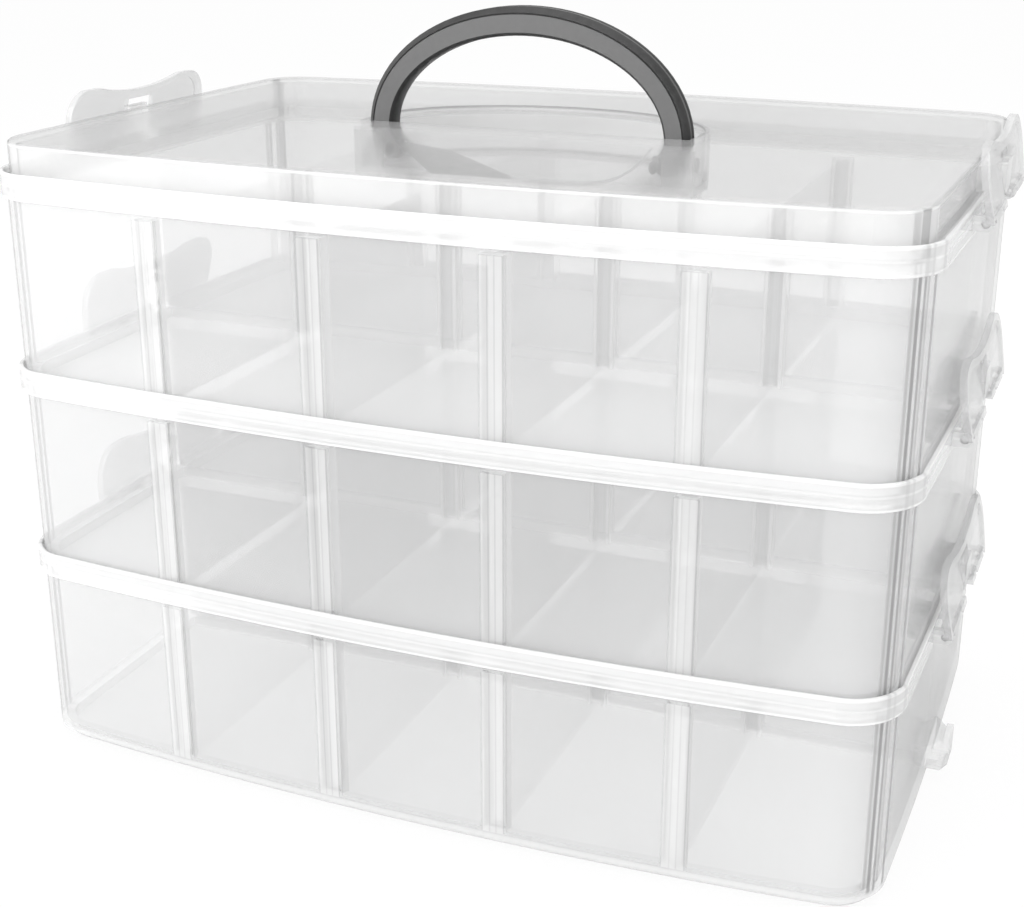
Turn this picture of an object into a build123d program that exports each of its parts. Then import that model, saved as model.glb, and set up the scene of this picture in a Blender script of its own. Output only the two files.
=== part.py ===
# Clear stacking compartment box: three equal trays under one lid, wing latches on
# both ends, loose dividers in every tray and a folding carrying handle.
# Millimetres. X runs along the long front, -Y is the front, Z is up, and the
# origin is the middle of the underside of the bottom tray.
import os
from math import sqrt

from build123d import *

# Plan of the box, taken round the rim of a tray
RIM_LENGTH = 322.0
RIM_WIDTH = 218.0
LONG_CROWN = 8.0
SHORT_CROWN = 1.6
CORNER_RADIUS = 20.0

# Tray section
WALL = 1.8
FLOOR = 2.0
LIP_WALL = 1.5
RIM_PROUD = 2.0
BODY_HEIGHT = 68.0
LEDGE_RISE = 5.0
LIP_HEIGHT = 4.0
FOOT_DEPTH = 4.0
FOOT_INSET = 3.0
FOOT_EDGE = 1.5
RIM_EDGE = 0.6

# Dividers, the middle wall and the channels that hold the dividers
COLUMNS = 5
COLUMN_PITCH = 62.0
DIVIDER_DROP = 2.5
MIDDLE_WALL = 2.0
DIVIDER_WALL = 1.6
FLANGE_WIDTH = 4.6
FLANGE_DEPTH = 1.6
CHANNEL_RIB = 1.3
CHANNEL_DEPTH = 2.2
SLIP = 0.3

# Lid
LID_RISE = 10.0
LID_WALL = 2.0
LID_INSET = 3.4
LID_SKIRT_DROP = 2.5
LID_EDGE = 1.5

# Catch lugs, low on both ends of each tray and on the lid
LUG_WIDTH = 12.0
LUG_REACH = 7.0
LUG_HEIGHT = 12.0
LUG_LIP = 2.4
LUG_LIP_RISE = 1.2
LUG_CHAMFER = 3.0
LUG_GUSSET = 8.0

# Latches, hinged on the tray rims
LATCH_WIDTH = 88.0
LATCH_FOOT_WIDTH = 84.0
LATCH_WALL = 1.6
LATCH_HEIGHT = 23.2
LATCH_LEAN = 4.0
LATCH_REACH = 6.0
LATCH_WINDOW = 8.0
LATCH_BAR = 3.4
EAR_RADIUS = 10.0
SCALLOP_RADIUS = 120.0
SCALLOP_DEPTH = 3.0
BEAD = 0.8
BEAD_WIDTH = 2.5
HINGE_REACH = 3.5
HINGE_RISE = 4.5
HINGE_RADIUS = 2.4
TRUNNION_RADIUS = 1.3
TRUNNION_FIT = 0.05
KNUCKLE_INNER = 17.0
KNUCKLE_OUTER = 36.4
KNUCKLE_WALL = 2.6

# Handle and the pocket it folds into
HANDLE_SPAN = 122.0
HANDLE_HEIGHT = 51.1
HANDLE_SPRING = 6.6
HANDLE_LEG = 9.5
HANDLE_CROWN = 10.0
HANDLE_DEPTH = 9.0
HANDLE_CHAMFER = 1.2
PIVOT_SPREAD = 105.0
PIVOT_EYE = 4.5
PIVOT_RADIUS = 2.4
PIVOT_FIT = 0.06
PIVOT_HEAD = 1.0
PIVOT_BOSS = 1.8
POCKET_DEPTH = 17.5
POCKET_CLEAR = 1.2
POCKET_FRONT = 8.0
PIVOT_RISE = 7.9

# Worked out from the sizes above
LEDGE = BODY_HEIGHT + LEDGE_RISE
LIP_TOP = LEDGE + LIP_HEIGHT
PITCH = LEDGE - FOOT_DEPTH
LID_BASE = 2 * PITCH + LEDGE
LID_TOP = 2 * PITCH + LIP_TOP + LID_RISE
WALL_INSET = RIM_PROUD
CAVITY_INSET = WALL_INSET + WALL
FOOT_CAVITY_INSET = WALL_INSET + FOOT_INSET + WALL
FOOT_FLOOR = FOOT_DEPTH + FLOOR
DIVIDER_TOP = BODY_HEIGHT - DIVIDER_DROP
WALL_X = RIM_LENGTH / 2 - WALL_INSET
RIM_X = RIM_LENGTH / 2
LUG_X = WALL_X + LUG_REACH
HINGE_X = RIM_X + HINGE_REACH
PIVOT_Z = LID_TOP - POCKET_DEPTH + PIVOT_RISE
LEVELS = ("bottom", "middle", "top")


def plan(inset):
    """Crowned outline of the box, drawn in by a distance all round."""
    half_x = RIM_LENGTH / 2 - inset
    half_y = RIM_WIDTH / 2 - inset
    corner_x = half_x - SHORT_CROWN
    corner_y = half_y - LONG_CROWN
    sides = Curve() + [
        ThreePointArc((-corner_x, -corner_y), (0, -half_y), (corner_x, -corner_y)),
        ThreePointArc((corner_x, -corner_y), (half_x, 0), (corner_x, corner_y)),
        ThreePointArc((corner_x, corner_y), (0, half_y), (-corner_x, corner_y)),
        ThreePointArc((-corner_x, corner_y), (-half_x, 0), (-corner_x, -corner_y)),
    ]
    face = make_face(sides)
    return fillet(face.vertices(), CORNER_RADIUS - inset)


def slab(inset, low, high):
    """The plan outline as a solid between two heights."""
    return Pos(0, 0, low) * extrude(plan(inset), high - low)


def block(x_low, x_high, y_low, y_high, z_low, z_high):
    """A box given by its limits."""
    size = (x_high - x_low, y_high - y_low, z_high - z_low)
    middle = ((x_low + x_high) / 2, (y_low + y_high) / 2, (z_low + z_high) / 2)
    return Pos(*middle) * Box(*size)


def rod(x, z, radius, y_low, y_high):
    """A cylinder along Y."""
    return Pos(x, (y_low + y_high) / 2, z) * Rot(90, 0, 0) * Cylinder(radius, y_high - y_low)


def extrude_y(points, half_width):
    """A section drawn in X and Z, extruded to both sides of Y = 0."""
    face = make_face(Plane.XZ * Polyline(*points, close=True))
    return extrude(face, half_width, both=True)


def other_end(shape):
    """The same thing on the left-hand end."""
    return mirror(shape, Plane.YZ)


def wall_y(x, inset):
    """Distance from the middle to the long side of the plan at one x."""
    half_x = RIM_LENGTH / 2 - inset - SHORT_CROWN
    half_y = RIM_WIDTH / 2 - inset
    radius = (half_x**2 + LONG_CROWN**2) / (2 * LONG_CROWN)
    return half_y - radius + sqrt(radius**2 - x**2)


def divider_xs():
    """Where the dividers stand along the tray."""
    first = -(COLUMNS - 2) / 2 * COLUMN_PITCH
    return [first + index * COLUMN_PITCH for index in range(COLUMNS - 1)]


SLOT_HALF = FLANGE_WIDTH / 2 + SLIP
CHANNEL_HALF = SLOT_HALF + CHANNEL_RIB
CHANNEL_Y = wall_y(max(divider_xs()) + CHANNEL_HALF, CAVITY_INSET) - SLIP
FOOT_Y = wall_y(max(divider_xs()) + CHANNEL_HALF, WALL_INSET + FOOT_INSET + WALL / 2)
MIDDLE_Y = MIDDLE_WALL / 2


def channel(x):
    """The pairs of ribs that hold the two dividers at one x."""
    ribs = Part()
    for side in (-1, 1):
        near_wall = side * (CHANNEL_Y - CHANNEL_DEPTH)
        outer = sorted((near_wall, side * wall_y(x, CAVITY_INSET - WALL / 2)))
        outer_foot = sorted((near_wall, side * FOOT_Y))
        inner = sorted((0, side * (MIDDLE_Y + CHANNEL_DEPTH)))
        ribs += block(x - CHANNEL_HALF, x + CHANNEL_HALF, *outer, FOOT_DEPTH + FLOOR / 2, DIVIDER_TOP)
        ribs += block(x - CHANNEL_HALF, x + CHANNEL_HALF, *outer_foot, FLOOR / 2, FOOT_FLOOR)
        ribs += block(x - CHANNEL_HALF, x + CHANNEL_HALF, *inner, FLOOR / 2, DIVIDER_TOP)
    return ribs


def channel_slots(x):
    """The space between each pair of ribs."""
    slots = Part()
    for side in (-1, 1):
        outer = sorted((side * (CHANNEL_Y - CHANNEL_DEPTH), side * CHANNEL_Y))
        inner = sorted((side * MIDDLE_Y, side * (MIDDLE_Y + CHANNEL_DEPTH)))
        slots += block(x - SLOT_HALF, x + SLOT_HALF, *outer, FOOT_FLOOR, LEDGE)
        slots += block(x - SLOT_HALF, x + SLOT_HALF, *inner, FLOOR, LEDGE)
    return slots


def lug(root_x, base):
    """Catch on the right-hand end: a shelf with an upright lip, and side gussets."""
    low = base
    high = base + LUG_HEIGHT
    lip_x = LUG_X - LUG_LIP
    section = [
        (root_x, low),
        (lip_x, low),
        (LUG_X, low + LUG_CHAMFER),
        (LUG_X, high + LUG_LIP_RISE),
        (lip_x, high + LUG_LIP_RISE),
        (lip_x, high),
        (root_x, high),
    ]
    shape = extrude_y(section, LUG_WIDTH / 2)
    reach = lip_x - root_x
    for side in (-1, 1):
        edge = side * (LUG_WIDTH / 2 - SLIP)
        tip = side * (LUG_WIDTH / 2 + LUG_GUSSET)
        web = make_face(Polyline((root_x, edge), (root_x + reach - SLIP, edge), (root_x, tip), close=True))
        shape += Pos(0, 0, low + LIP_HEIGHT) * extrude(web, LUG_HEIGHT - LIP_HEIGHT)
    return shape


def knuckles():
    """Eyes on the right-hand rim that carry one latch."""
    eyes = Part()
    height = BODY_HEIGHT + HINGE_RISE
    for side in (-1, 1):
        for start in (KNUCKLE_INNER, KNUCKLE_OUTER):
            low, high = sorted((side * start, side * (start + KNUCKLE_WALL)))
            eye = rod(HINGE_X, height, HINGE_RADIUS, low, high)
            eye += block(RIM_X - LIP_WALL / 2 - SHORT_CROWN / 2, HINGE_X, low, high,
                         height - HINGE_RADIUS, height + HINGE_RADIUS)
            eyes += eye - rod(HINGE_X, height, TRUNNION_RADIUS + TRUNNION_FIT, low, high)
    return eyes


def lug_notch():
    """Gap in the rim that the next piece's lug drops into."""
    half = LUG_WIDTH / 2 + 2 * SLIP
    return block(WALL_X + SLIP / 6, RIM_X + 1, -half, half, LEDGE - SLIP, LIP_TOP + 1)


def tray_body():
    """One moulded tray, standing on Z = 0."""
    foot = slab(WALL_INSET + FOOT_INSET, 0, FOOT_DEPTH)
    foot = fillet(foot.edges().group_by(Axis.Z)[0], FOOT_EDGE)
    rim = slab(0, BODY_HEIGHT, LIP_TOP) - slab(LIP_WALL, LEDGE, LIP_TOP)
    outer_edges = rim.edges().group_by(Axis.Z)[0] + rim.edges().group_by(Axis.Z)[-1]
    rim = fillet(outer_edges, RIM_EDGE)
    body = foot + slab(WALL_INSET, FOOT_DEPTH, LEDGE) + rim
    body -= slab(CAVITY_INSET, FOOT_FLOOR, LEDGE)
    body -= slab(FOOT_CAVITY_INSET, FLOOR, FOOT_FLOOR)
    reach = WALL_X - WALL / 2
    foot_reach = reach - FOOT_INSET
    body += block(-reach, reach, -MIDDLE_Y, MIDDLE_Y, FOOT_DEPTH + FLOOR / 2, DIVIDER_TOP)
    body += block(-foot_reach, foot_reach, -MIDDLE_Y, MIDDLE_Y, FLOOR / 2, FOOT_FLOOR)
    for x in divider_xs():
        body += channel(x)
    for x in divider_xs():
        body -= channel_slots(x)
    catch = lug(WALL_X - WALL / 2, FOOT_DEPTH + SLIP)
    eyes = knuckles()
    gap = lug_notch()
    body = body - gap - other_end(gap)
    return body + catch + other_end(catch) + eyes + other_end(eyes)


def divider(side):
    """A loose divider, in place at x = 0 on one side of the middle wall."""
    near = MIDDLE_Y + SLIP
    far = CHANNEL_Y - SLIP
    foot_far = wall_y(max(divider_xs()), FOOT_CAVITY_INSET) - 2 * SLIP
    half = DIVIDER_WALL / 2
    flange = FLANGE_WIDTH / 2
    top = DIVIDER_TOP - SLIP
    low = FOOT_FLOOR + SLIP
    plate = block(-half, half, near, foot_far, FLOOR, low) + block(-half, half, near, far, low, top)
    plate += block(-flange, flange, near, near + FLANGE_DEPTH, FLOOR, top)
    plate += block(-flange, flange, far - FLANGE_DEPTH, far, low, top)
    return plate if side > 0 else mirror(plate, Plane.XZ)


def wing():
    """Outline of a latch, in Y across and Z up from its foot."""
    half_foot = LATCH_FOOT_WIDTH / 2
    half = LATCH_WIDTH / 2
    waist = LATCH_HEIGHT / 2
    sides = [(-half_foot, 0), (half_foot, 0), (half, waist), (half, LATCH_HEIGHT), (-half, LATCH_HEIGHT),
             (-half, waist)]
    outline = make_face(Polyline(*sides, close=True))
    outline = fillet(outline.vertices().group_by(Axis.Y)[-1], EAR_RADIUS)
    outline = fillet(outline.vertices().group_by(Axis.Y)[0], HINGE_RADIUS)
    return outline - Pos(0, LATCH_HEIGHT + SCALLOP_RADIUS - SCALLOP_DEPTH) * Circle(SCALLOP_RADIUS)


def leaf(inner_x, thickness, outline, foot_z):
    """A leaning plate of one outline, on the right-hand end."""
    section = [
        (inner_x, foot_z),
        (inner_x + thickness, foot_z),
        (inner_x + thickness - LATCH_LEAN, foot_z + LATCH_HEIGHT),
        (inner_x - LATCH_LEAN, foot_z + LATCH_HEIGHT),
    ]
    cutter = Pos(0, 0, foot_z) * extrude(Plane.YZ * outline, 2 * RIM_X)
    return extrude_y(section, LATCH_WIDTH) & cutter


def latch():
    """Right-hand latch for the rim of the bottom tray, closed."""
    hinge_z = BODY_HEIGHT + HINGE_RISE
    outer = RIM_X + LATCH_REACH
    inner = outer - LATCH_WALL - BEAD / 2
    outline = wing()
    plate = leaf(inner, LATCH_WALL, outline, hinge_z)
    plate += leaf(inner, LATCH_WALL + BEAD, outline - offset(outline, -BEAD_WIDTH), hinge_z)
    bar_low = hinge_z + LATCH_HEIGHT - SCALLOP_DEPTH - LATCH_BAR
    plate -= block(0, 2 * RIM_X, -LATCH_WINDOW, LATCH_WINDOW, hinge_z - 1, bar_low)
    for side in (-1, 1):
        low, high = sorted((side * (KNUCKLE_INNER + KNUCKLE_WALL + SLIP), side * (KNUCKLE_OUTER - SLIP)))
        plate += rod(HINGE_X, hinge_z, HINGE_RADIUS, low, high)
        plate += rod(HINGE_X, hinge_z, TRUNNION_RADIUS, low - KNUCKLE_WALL, high + KNUCKLE_WALL)
    for side in (-1, 1):
        for start in (KNUCKLE_INNER, KNUCKLE_OUTER):
            low, high = sorted((side * (start - SLIP), side * (start + KNUCKLE_WALL + SLIP)))
            swing = HINGE_RADIUS + 2 * SLIP
            notch = rod(HINGE_X, hinge_z, swing, low, high) - rod(HINGE_X, hinge_z, TRUNNION_RADIUS, low, high)
            plate -= notch
    return plate


def half_ring(half_span, rise, depth):
    """Half an elliptical slab standing on the spring line of the handle, about the pivot."""
    dome = Ellipse(half_span, rise) & Pos(0, rise) * Rectangle(2 * half_span, 2 * rise)
    return extrude(Plane.XZ * Pos(0, HANDLE_SPRING) * dome, depth / 2, both=True)


def handle():
    """Arched handle, standing up, with its two pivot studs."""
    half = HANDLE_SPAN / 2
    inner_half = half - HANDLE_LEG
    eye_x = PIVOT_SPREAD / 2
    bow = HANDLE_HEIGHT - HANDLE_SPRING
    bar = half_ring(half, bow, HANDLE_DEPTH) - half_ring(inner_half, bow - HANDLE_CROWN, 2 * HANDLE_DEPTH)
    for side in (-1, 1):
        corners = [
            (side * inner_half, HANDLE_SPRING),
            (side * half, HANDLE_SPRING),
            (side * (eye_x + PIVOT_EYE), 0),
            (side * (eye_x - PIVOT_EYE), 0),
        ]
        bar += extrude_y(corners, HANDLE_DEPTH / 2)
        bar += rod(side * eye_x, 0, PIVOT_EYE, -HANDLE_DEPTH / 2, HANDLE_DEPTH / 2)
    bar = bar.clean()
    faces = bar.faces().group_by(Axis.Y)
    bar = chamfer(faces[0].edges() + faces[-1].edges(), HANDLE_CHAMFER)
    stud_low = eye_x - PIVOT_EYE - PIVOT_HEAD
    stud_high = half + POCKET_CLEAR + WALL / 2
    for side in (-1, 1):
        stud = Rot(0, 90, 0) * Cylinder(PIVOT_RADIUS, stud_high - stud_low)
        bar += Pos(side * (stud_low + stud_high) / 2, 0, 0) * stud
    return Pos(0, 0, PIVOT_Z) * bar


def pocket_plan(grow):
    """Outline of the handle pocket, seen from above, grown by a wall."""
    half = HANDLE_SPAN / 2 + POCKET_CLEAR + grow
    back = HANDLE_HEIGHT - HANDLE_SPRING + POCKET_CLEAR + grow
    front = POCKET_FRONT + grow
    dome = Ellipse(half, back) & Pos(0, back) * Rectangle(2 * half, 2 * back)
    throat = Pos(0, (HANDLE_SPRING - front) / 2) * Rectangle(2 * half, HANDLE_SPRING + front)
    return Pos(0, HANDLE_SPRING) * dome + throat


def lid():
    """Lid with its sunk handle pocket, seated inside the lip of the top tray."""
    body = fillet(slab(LID_INSET, LID_BASE, LID_TOP).edges().group_by(Axis.Z)[-1], LID_EDGE)
    body += slab(WALL_INSET + SLIP, LID_BASE, LID_BASE + LID_WALL)
    body += slab(CAVITY_INSET + SLIP, LID_BASE - LID_SKIRT_DROP, LID_BASE)
    body -= slab(CAVITY_INSET + SLIP + LID_WALL, LID_BASE - LID_SKIRT_DROP, LID_TOP - LID_WALL)
    floor = LID_TOP - POCKET_DEPTH
    body += Pos(0, 0, floor - LID_WALL) * extrude(pocket_plan(WALL), POCKET_DEPTH)
    body -= Pos(0, 0, floor) * extrude(pocket_plan(0), POCKET_DEPTH + 1)
    eye_outer = PIVOT_SPREAD / 2 + PIVOT_EYE
    splay = (HANDLE_SPAN / 2 - eye_outer) * (PIVOT_RADIUS + PIVOT_BOSS) / HANDLE_SPRING
    boss_low = eye_outer + splay + SLIP
    boss_high = HANDLE_SPAN / 2 + POCKET_CLEAR + WALL
    for side in (-1, 1):
        seat = Pos(side * (boss_low + boss_high) / 2, 0, PIVOT_Z) * Rot(0, 90, 0)
        body += seat * Cylinder(PIVOT_RADIUS + PIVOT_BOSS, boss_high - boss_low)
        body -= seat * Cylinder(PIVOT_RADIUS + PIVOT_FIT, 2 * (boss_high - boss_low))
    catch = lug(RIM_X - LID_INSET - LID_WALL / 2, LID_BASE + SLIP)
    return body + catch + other_end(catch)


def save(name, shape):
    """Write one named piece."""
    export_step(shape, f"parts/{name}.step")


def main():
    os.makedirs("parts", exist_ok=True)
    tray = tray_body()
    right_latch = latch()
    left_latch = other_end(right_latch)
    for level, name in enumerate(LEVELS):
        place = Pos(0, 0, level * PITCH)
        save(f"tray_{name}", place * tray)
        save(f"latch_{name}_right", place * right_latch)
        save(f"latch_{name}_left", place * left_latch)
        for row, side in (("front", -1), ("back", 1)):
            for number, x in enumerate(divider_xs(), 1):
                save(f"divider_{name}_{row}_{number}", place * Pos(x, 0, 0) * divider(side))
    save("lid", lid())
    save("handle", handle())
    print("tray pitch", PITCH, "lid top", LID_TOP, "handle top", PIVOT_Z + HANDLE_HEIGHT)


main()
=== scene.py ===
# Studio picture of a clear stacking compartment box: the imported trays, lid, dividers
# and latches in clear moulded plastic, a smoke-grey handle, a white sweep and soft light.
import math

import bmesh
import bpy
from mathutils import Matrix, Vector


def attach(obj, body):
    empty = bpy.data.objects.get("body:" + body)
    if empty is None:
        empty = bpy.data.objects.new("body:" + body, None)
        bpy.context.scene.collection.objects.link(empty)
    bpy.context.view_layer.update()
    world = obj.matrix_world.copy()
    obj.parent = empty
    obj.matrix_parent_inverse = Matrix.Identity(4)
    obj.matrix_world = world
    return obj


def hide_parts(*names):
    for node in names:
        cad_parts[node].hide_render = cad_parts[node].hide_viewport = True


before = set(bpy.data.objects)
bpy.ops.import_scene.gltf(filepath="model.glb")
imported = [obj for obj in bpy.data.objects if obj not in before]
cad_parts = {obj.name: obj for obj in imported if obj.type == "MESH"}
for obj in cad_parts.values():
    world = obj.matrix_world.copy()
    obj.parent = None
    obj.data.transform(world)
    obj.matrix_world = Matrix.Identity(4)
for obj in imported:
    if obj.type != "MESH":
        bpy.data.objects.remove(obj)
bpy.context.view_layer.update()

# Places on the box in metres, as the part's source has them
DIVIDER_X = (-0.093, -0.031, 0.031, 0.093)
TRAY_BASE = {"bottom": 0.0, "middle": 0.069, "top": 0.138}
CORNER_X = 0.1396
CORNER_Y = 0.0833
RIM_FOOT = 0.0678
DIVIDER_TOP = 0.0657
PIVOT_Z = 0.2154
SPRING_Z = 0.2220

# Handle pocket in the lid: half its width, its back, and the bowed edge of its mouth and floor
POCKET_HALF = 0.0650
POCKET_BACK = 0.0560
BOW_X = 0.0622
BOW_Y = 0.0457
BOW_CENTRE = 0.0066
POCKET_FLOOR = 0.2087

# Greys for painted light, each the share of light that the plastic sends back: the dark lines of painted
# shade, and the painted highlight along the tray rims
SHADE_LINE_GREY = 0.20
RIM_HIGHLIGHT_GREY = 0.96

# Lens that the photograph was taken with, in pixels across its 1024
FOCAL = 1640.17
PHOTO_WIDTH = 1024


# Shader maths

class Socket:
    """A shader output that can be used in sums."""

    def __init__(self, tree, link):
        self.tree = tree
        self.link = link

    def math(self, operation, *values):
        return self.tree.node("ShaderNodeMath", {"operation": operation}, dict(enumerate(values)))

    def __add__(self, other):
        return self.math("ADD", self, other)

    __radd__ = __add__

    def __sub__(self, other):
        return self.math("SUBTRACT", self, other)

    def __rsub__(self, other):
        return self.math("SUBTRACT", other, self)

    def __mul__(self, other):
        return self.math("MULTIPLY", self, other)

    __rmul__ = __mul__

    def __pow__(self, other):
        return self.math("POWER", self, other)

    def size(self):
        return self.math("ABSOLUTE", self)

    def clamp(self):
        return self.tree.node("ShaderNodeClamp", {}, {0: self})

    def step(self, low, high):
        """0 below low and 1 above high, smoothly between."""
        return self.tree.node("ShaderNodeMapRange", {"interpolation_type": "SMOOTHSTEP"},
                              {"Value": self, "From Min": low, "From Max": high})

    def band(self, low, high, soft):
        """1 between low and high, and 0 outside."""
        return self.step(low - soft, low + soft) - self.step(high - soft, high + soft)


class Finish:
    """One material and its nodes."""

    def __init__(self, name):
        self.material = bpy.data.materials.new(name)
        self.material.use_nodes = True
        self.nodes = self.material.node_tree.nodes
        self.links = self.material.node_tree.links
        self.nodes.clear()

    def node(self, kind, settings, sockets, out=0):
        made = self.nodes.new(kind)
        for key, value in settings.items():
            setattr(made, key, value)
        for key, value in sockets.items():
            if isinstance(value, Socket):
                self.links.new(value.link, made.inputs[key])
            else:
                made.inputs[key].default_value = value
        return Socket(self, made.outputs[out])

    def mix(self, factor, a, b):
        return self.node("ShaderNodeMix", {"data_type": "RGBA"}, {0: factor, 6: a, 7: b}, out=2)

    def noise(self, scale, detail, rough=0.5, stretch=(1, 1, 1)):
        point = self.node("ShaderNodeTexCoord", {}, {}, out="Object")
        place = self.node("ShaderNodeMapping", {}, {"Vector": point, "Scale": stretch})
        sockets = {"Vector": place, "Scale": scale, "Detail": detail, "Roughness": rough}
        return self.node("ShaderNodeTexNoise", {}, sockets)

    def flow_marks(self):
        """Faint upright marks that the plastic's flow leaves in the mould."""
        return self.noise(60.0, 1.0, stretch=(1, 1, 0.25))

    def position(self):
        point = self.node("ShaderNodeTexCoord", {}, {}, out="Object")
        return [self.node("ShaderNodeSeparateXYZ", {}, {0: point}, out=axis) for axis in range(3)]

    def corner_lines(self, x, y, stripes):
        """1 in upright stripes round the four corners, each between two angles from the box's end."""
        out = x.size() - CORNER_X
        along = y.size() - CORNER_Y
        angle = along.math("ARCTAN2", along, out)
        total = 0.0
        for low, high in stripes:
            total = total + angle.band(math.radians(low), math.radians(high), math.radians(1.2))
        return total * out.step(0.002, 0.004) * along.step(-0.0005, 0.0005)

    def edge(self, sharp):
        """1 where the surface turns away at a rounded corner, where the callers paint shade, as clear
        plastic darkens there.
        """
        return self.node("ShaderNodeLayerWeight", {}, {"Blend": 0.5}, out="Facing") ** sharp

    def clear(self, colour, rough, alpha, flow):
        """The clear plastic's own gloss, over a colour and a density worked out by the caller."""
        bump = self.node("ShaderNodeBump", {}, {"Strength": 0.08, "Distance": 0.0006, "Height": flow})
        return self.surface(self.node("ShaderNodeBsdfPrincipled", {}, {
            "Base Color": colour, "Roughness": rough + 0.06 * flow, "IOR": 1.57, "Alpha": alpha,
            "Normal": bump}))

    def surface(self, shader):
        self.links.new(shader.link, self.nodes.new("ShaderNodeOutputMaterial").inputs["Surface"])
        return self.material


def grey(level, warm=0.0):
    return (level + warm, level, level - warm, 1)


def clear_plastic(name, shade, alpha, rough):
    """Clear moulded styrene: a thin grey-white veil, a hard gloss and faint flow marks, with painted shade
    where it turns away at rounded corners.
    """
    finish = Finish(name)
    cloud = finish.noise(9.0, 2.0)
    edge = finish.edge(4.0)
    colour = finish.mix(cloud, grey(shade * 0.95, -0.002), grey(shade, -0.001))
    # Painted shade: darker grey where the surface turns away at rounded corners
    colour = finish.mix(0.75 * edge, colour, grey(0.30))
    return finish.clear(colour, rough, alpha + 0.35 * edge, finish.flow_marks())


def tray_plastic(name, base):
    """Clear plastic of one tray, denser along its rim, shoulder and ribs, where the moulding is thick and a
    highlight is painted, with painted shade in the grooves beside the ribs, in stripes round the corners and
    where it turns away at rounded corners.
    """
    finish = Finish(name)
    x, y, z = finish.position()
    rise = z - base
    rim = rise.step(RIM_FOOT - 0.0005, RIM_FOOT + 0.0005)
    crowns = rise.band(0.0680, 0.0690, 0.0003) + rise.band(0.0760, 0.0780, 0.0003)
    lines = crowns + 0.5 * rise.band(0.0724, 0.0732, 0.0003)
    shoulder = 1 - rise.step(0.0045, 0.0065)
    ribs, grooves = divider_marks(x)
    long_wall = y.size().step(0.0940, 0.0970)
    middle_wall = 1 - y.size().step(0.0033, 0.0045)
    tall = (long_wall + middle_wall) * rise.band(0.0060, DIVIDER_TOP, 0.0003)
    # Where the moulding is thick: denser plastic, and the mask of the painted highlight
    thick_and_highlit = (0.35 * rim + 0.45 * lines + 0.22 * shoulder + 0.30 * ribs * tall).clamp()
    corner = finish.corner_lines(x, y, [(6, 12), (25, 29), (32, 37)])
    corner = corner * (1 - 0.5 * rim) * (1 - shoulder)
    edge = finish.edge(4.0) * (1 - 0.7 * thick_and_highlit)
    colour = finish.mix(finish.noise(9.0, 2.0), grey(0.85, -0.002), grey(0.91, -0.001))
    # Painted highlight: the rim lines, shoulder and ribs painted near white
    colour = finish.mix(thick_and_highlit, colour, grey(RIM_HIGHLIGHT_GREY))
    # Painted shade in the fine grooves beside the divider ribs
    colour = finish.mix(0.40 * (grooves * tall).clamp(), colour, grey(0.35))
    # Painted shade: dark stripes round the rounded corners
    colour = finish.mix(0.85 * corner, colour, grey(0.16))
    # Painted shade where the surface turns away at rounded corners
    colour = finish.mix(0.9 * edge, colour, grey(SHADE_LINE_GREY))
    alpha = 0.28 + 0.42 * thick_and_highlit + 0.45 * edge + 0.4 * corner
    return finish.clear(colour, 0.10, alpha, finish.flow_marks())


def divider_marks(x):
    """The ribs that hold the dividers, and the fine grooves at their sides, by their place along the box."""
    ribs = 0.0
    grooves = 0.0
    for column in DIVIDER_X:
        off = (x - column).size()
        ribs = ribs + off.band(-0.0010, 0.0041, 0.0003)
        grooves = grooves + off.band(0.0036, 0.0043, 0.0002) + 0.6 * off.band(0.0009, 0.0014, 0.0002)
    return ribs, grooves


def pocket_front(x, z):
    """Painted shade on the pocket's front wall: dark facets, a fine crescent, the two end blocks and the
    pivot spots.
    """
    facet = (z + 0.114 * x - 0.21315).step(0.0001, -0.0001)
    facet = facet * (z + 0.337 * x - 0.2074).step(0.0001, -0.0001)
    facet = facet * (z + 0.7676 * x - 0.18191).step(-0.0001, 0.0001) * z.step(0.2076, 0.2078)
    across = x.size()
    cup = z - 0.2080 - 0.0170 * (across * (1 / 0.051)) ** 5.0
    crescent = cup.band(-0.0012, 0.0, 0.0003) * x.step(0.0, 0.004)
    block = across.step(0.0525, 0.0532) * z.step(0.2084, 0.2088)
    beside = across - 0.0500
    above = z - 0.2152
    spot = 1 - (2.2 * (beside * beside) + above * above).step(0.000004, 0.000006)
    return (0.8 * facet + 0.5 * crescent + 0.35 * block + spot).clamp()


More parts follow.
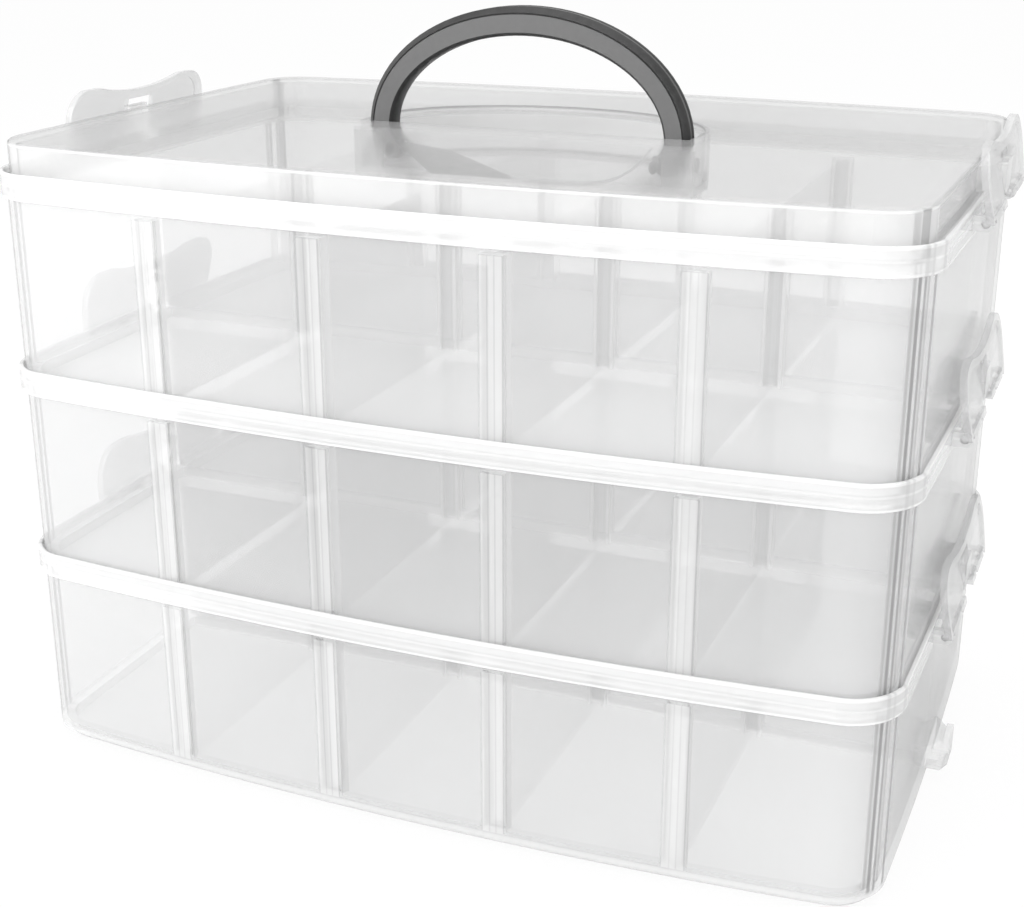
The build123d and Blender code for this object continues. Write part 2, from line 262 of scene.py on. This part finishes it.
def lid_plastic(name):
    """Clear lid: a greyer top face of painted shade, a whiter band round its side, and denser walls round
    the pocket, with painted shade in dark lines at the pocket's mouth and foot, on the pocket's front wall,
    round the corners and where it turns away at rounded corners.
    """
    finish = Finish(name)
    x, y, z = finish.position()
    top = z.step(0.2236, 0.2246)
    back_of_centre = y - BOW_CENTRE
    bow = x * x * (1 / BOW_X ** 2) + back_of_centre * back_of_centre * (1 / BOW_Y ** 2)
    mouth = bow.band(0.96, 1.05, 0.02) * y.step(0.0, 0.004) * top
    tub = 1 - x.size().step(POCKET_HALF - 0.0005, POCKET_HALF + 0.0005)
    tub = tub * y.band(-0.0110, POCKET_BACK, 0.0005) * (1 - z.step(0.2214, 0.2222))
    low = 1 - z.step(POCKET_FLOOR - 0.0003, POCKET_FLOOR + 0.0003)
    foot_line = low * bow.step(0.91, 0.95) * y.step(0.0066, 0.0100) * tub
    back = ((1 - low) * y.step(0.0066, 0.0120) + 0.5 * low) * tub
    front = (1 - y.step(-0.0072, -0.0060)) * tub * pocket_front(x, z)
    side = (x.size().step(0.1490, 0.1510) + y.size().step(0.0930, 0.0950)).clamp() * (1 - top)
    lines = (z.band(0.2070, 0.2122, 0.0003) + z.band(0.2234, 0.2246, 0.0003)) * side
    corner = finish.corner_lines(x, y, [(20, 33)]) * side
    edge = finish.edge(4.0)
    colour = finish.mix(finish.noise(9.0, 2.0), grey(0.82), grey(0.90))
    # Painted shade: the lid's top face painted a darker grey
    colour = finish.mix(top, colour, grey(0.52))
    # Painted shade: dark lines along the pocket's bowed mouth and its floor's foot
    colour = finish.mix(0.9 * (mouth + foot_line).clamp(), colour, grey(SHADE_LINE_GREY))
    # Painted shade on the pocket's front wall
    colour = finish.mix(front, colour, grey(0.08))
    # Painted shade: dark stripes round the corners of the side band
    colour = finish.mix(0.8 * corner, colour, grey(SHADE_LINE_GREY))
    # Painted shade where the surface turns away at rounded corners
    colour = finish.mix(0.85 * edge, colour, grey(0.25))
    alpha = 0.16 + 0.06 * top + 0.18 * side + 0.35 * lines + 0.35 * edge + 0.3 * corner
    alpha = alpha + 0.3 * mouth + 0.6 * foot_line + 0.35 * back + 0.8 * front
    return finish.clear(colour, 0.08 + 0.12 * top, alpha.clamp(), finish.flow_marks())


def smoke_plastic(name):
    """Smoke-grey plastic with painted light and shade: the faces that look front and back painted a lighter
    grey as a soft sheen, and the edges painted near black where light runs along them.
    """
    finish = Finish(name)
    normal = finish.node("ShaderNodeTexCoord", {}, {}, out="Normal")
    forward = finish.node("ShaderNodeSeparateXYZ", {}, {0: normal}, out=1)
    face = (forward * forward) ** 3.0
    speck = finish.noise(420.0, 4.0, 0.6)
    # Painted light and shade: faces that look front and back painted lighter, edges near black
    colour = finish.mix(face, grey(0.008), grey(0.18))
    colour = finish.mix(0.35 * speck, colour, grey(0.12))
    bump = finish.node("ShaderNodeBump", {}, {"Strength": 0.2, "Distance": 0.0002, "Height": speck})
    shader = finish.node("ShaderNodeBsdfPrincipled", {}, {
        "Base Color": colour, "Roughness": 0.3 + 0.15 * speck, "IOR": 1.45, "Specular IOR Level": 0.22,
        "Normal": bump})
    return finish.surface(shader)


# Camera at the photograph's place

def add_camera():
    turn = math.radians(22.32)
    tilt = math.radians(19.8)
    data = bpy.data.cameras.new("view")
    data.sensor_width = 36.0
    data.lens = data.sensor_width * FOCAL / PHOTO_WIDTH
    data.clip_end = 20.0
    camera = bpy.data.objects.new("view", data)
    camera.location = (0.21783, -0.54474, 0.31292)
    camera.rotation_euler = (math.pi / 2 - tilt, 0, turn)
    bpy.context.collection.objects.link(camera)
    bpy.context.scene.camera = camera


add_camera()


# Floor, world and lamps

def add_floor():
    """White floor that keeps a soft shadow, far wider than the box."""
    mesh = bpy.data.meshes.new("floor")
    shape = bmesh.new()
    bmesh.ops.create_grid(shape, x_segments=1, y_segments=1, size=6.0)
    shape.to_mesh(mesh)
    shape.free()
    floor = bpy.data.objects.new("floor", mesh)
    floor.location.z = -0.0002
    bpy.context.collection.objects.link(floor)
    finish = Finish("white floor")
    white = finish.node("ShaderNodeEmission", {}, {"Color": grey(1.0), "Strength": 1.0})
    matt = finish.node("ShaderNodeBsdfDiffuse", {}, {"Color": grey(0.92)})
    seen = finish.node("ShaderNodeLightPath", {}, {}, out="Is Camera Ray")
    shade = finish.node("ShaderNodeMixShader", {}, {0: 0.92 * seen, 1: matt, 2: white})
    mesh.materials.append(finish.surface(shade))


def add_world():
    world = bpy.data.worlds.new("studio")
    bpy.context.scene.world = world
    world.use_nodes = True
    nodes = world.node_tree.nodes
    links = world.node_tree.links
    nodes.clear()
    path = nodes.new("ShaderNodeLightPath")
    camera_or_gloss = nodes.new("ShaderNodeMath")
    camera_or_gloss.operation = "MAXIMUM"
    links.new(path.outputs["Is Camera Ray"], camera_or_gloss.inputs[0])
    links.new(path.outputs["Is Glossy Ray"], camera_or_gloss.inputs[1])
    seen = nodes.new("ShaderNodeMath")
    seen.operation = "MAXIMUM"
    links.new(camera_or_gloss.outputs[0], seen.inputs[0])
    links.new(path.outputs["Is Transmission Ray"], seen.inputs[1])
    soft = nodes.new("ShaderNodeBackground")
    soft.inputs["Strength"].default_value = 0.85
    white = nodes.new("ShaderNodeBackground")
    white.inputs["Strength"].default_value = 1.0
    for background in (soft, white):
        background.inputs["Color"].default_value = (1, 1, 1, 1)
    blend = nodes.new("ShaderNodeMixShader")
    links.new(seen.outputs[0], blend.inputs[0])
    links.new(soft.outputs[0], blend.inputs[1])
    links.new(white.outputs[0], blend.inputs[2])
    out = nodes.new("ShaderNodeOutputWorld")
    links.new(blend.outputs[0], out.inputs["Surface"])


def add_lamp(name, place, target, size, power):
    data = bpy.data.lights.new(name, "AREA")
    data.shape = "RECTANGLE"
    data.size, data.size_y = size
    data.energy = power
    lamp = bpy.data.objects.new(name, data)
    lamp.location = place
    aim = Vector(target) - Vector(place)
    lamp.rotation_euler = aim.to_track_quat("-Z", "Y").to_euler()
    bpy.context.collection.objects.link(lamp)


bpy.context.scene.view_settings.view_transform = "Standard"
add_floor()
add_world()
add_lamp("front left softbox", (-0.9, -1.6, 1.0), (0, 0, 0.12), (1.4, 1.2), 23)
add_lamp("top softbox", (0.1, 0.1, 1.6), (0, 0, 0.1), (1.6, 1.2), 12)
add_lamp("right fill", (1.7, -0.3, 0.7), (0, 0, 0.12), (1.0, 1.0), 3)


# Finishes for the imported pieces

CLEAR_TRAY = {level: tray_plastic(f"clear {level} tray plastic", base) for level, base in TRAY_BASE.items()}
CLEAR_LID = lid_plastic("clear lid plastic")
CLEAR_DIVIDER = clear_plastic("clear divider plastic", 0.96, 0.05, 0.14)
CLEAR_LATCH = clear_plastic("clear latch plastic", 0.70, 0.34, 0.12)
SMOKE = smoke_plastic("smoke handle plastic")


def finish_for(node):
    if node.startswith("tray"):
        return CLEAR_TRAY[node.removeprefix("tray_")]
    if node.startswith("divider"):
        return CLEAR_DIVIDER
    if node.startswith("latch"):
        return CLEAR_LATCH
    return SMOKE if node == "handle" else CLEAR_LID


# Handle, swept round its arch with a bevelled, grooved section

STUD_RADIUS = 0.0024
STUD_LENGTH = 0.0161
STUD_X = 0.05505
STUD_SIDES = 40
SECTION_DEPTH = 9.5
HANDLE_SECTION = [
    (-4.75, -2.6), (-4.3, -3.7), (-3.6, -4.3), (2.2, -4.5), (2.5, -4.15), (2.8, -4.4), (3.9, -3.3),
    (4.1, -2.9), (4.75, -2.2), (4.75, -0.5), (4.5, 0.0), (4.75, 0.5), (4.75, 2.2), (4.1, 2.9),
    (3.9, 3.3), (2.8, 4.4), (2.5, 4.15), (2.2, 4.5), (-3.6, 4.3), (-4.3, 3.7), (-4.75, 2.6),
]


def handle_stations():
    """Inner and outer points of the handle from its left eye round to its right one, with how full it is."""
    side = [((0.0500, 0.2110), (0.0550, 0.2110), 0.55), ((0.0484, 0.2128), (0.0566, 0.2128), 0.9),
            ((0.0480, PIVOT_Z), (0.0570, PIVOT_Z), 1.0), ((0.0500, 0.2190), (0.0592, 0.2190), 1.0)]
    left = [((-inner[0], inner[1]), (-outer[0], outer[1]), full) for inner, outer, full in side]
    arch = []
    for step in range(49):
        angle = math.pi * (1 - step / 48)
        inner = (0.0515 * math.cos(angle), SPRING_Z + 0.0345 * math.sin(angle))
        outer = (0.0610 * math.cos(angle), SPRING_Z + 0.0445 * math.sin(angle))
        arch.append((inner, outer, 1.0))
    return left + arch + side[::-1]


def make_handle():
    """Sweeps the section round the arch, and adds the two pivot studs."""
    mesh = bpy.data.meshes.new("carrying handle")
    shape = bmesh.new()
    ring = [shape.verts.new((u, v, 0)) for u, v in HANDLE_SECTION]
    face = shape.faces.new(ring)
    for index, (inner, outer, full) in enumerate(handle_stations()):
        if index:
            grown = bmesh.ops.extrude_face_region(shape, geom=[face])["geom"]
            last = face
            face = next(part for part in grown if isinstance(part, bmesh.types.BMFace))
            if index > 1:
                bmesh.ops.delete(shape, geom=[last], context="FACES_ONLY")
            ring = list(face.verts)
        middle = Vector(((inner[0] + outer[0]) / 2, 0, (inner[1] + outer[1]) / 2))
        out = Vector((outer[0] - inner[0], 0, outer[1] - inner[1]))
        for vert, (u, v) in zip(ring, HANDLE_SECTION):
            vert.co = middle + out * (u / SECTION_DEPTH) + Vector((0, v * 0.001 * full, 0))
    for side in (-1, 1):
        turn = Matrix.Translation((side * STUD_X, 0, PIVOT_Z)) @ Matrix.Rotation(math.pi / 2, 4, "Y")
        made = bmesh.ops.create_cone(shape, cap_ends=True, segments=STUD_SIDES, radius1=STUD_RADIUS,
                                     radius2=STUD_RADIUS, depth=STUD_LENGTH, matrix=turn)
        rims = dict.fromkeys(edge for vert in made["verts"] for edge in vert.link_edges
                             if sorted(len(face.verts) for face in edge.link_faces) == [4, STUD_SIDES])
        bmesh.ops.bevel(shape, geom=list(rims), offset=0.0003, segments=2, profile=0.5,
                        affect="EDGES", material=-1)
    bmesh.ops.recalc_face_normals(shape, faces=shape.faces)
    for face in shape.faces:
        face.smooth = len(face.verts) < 20
    shape.to_mesh(mesh)
    shape.free()
    mesh.set_sharp_from_angle(angle=math.radians(28))
    mesh.materials.append(SMOKE)
    handle = bpy.data.objects.new("carrying_handle", mesh)
    bpy.context.collection.objects.link(handle)
    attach(handle, "handle")
    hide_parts("handle")


make_handle()

for name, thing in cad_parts.items():
    for place in thing.material_slots:
        place.material = finish_for(name)
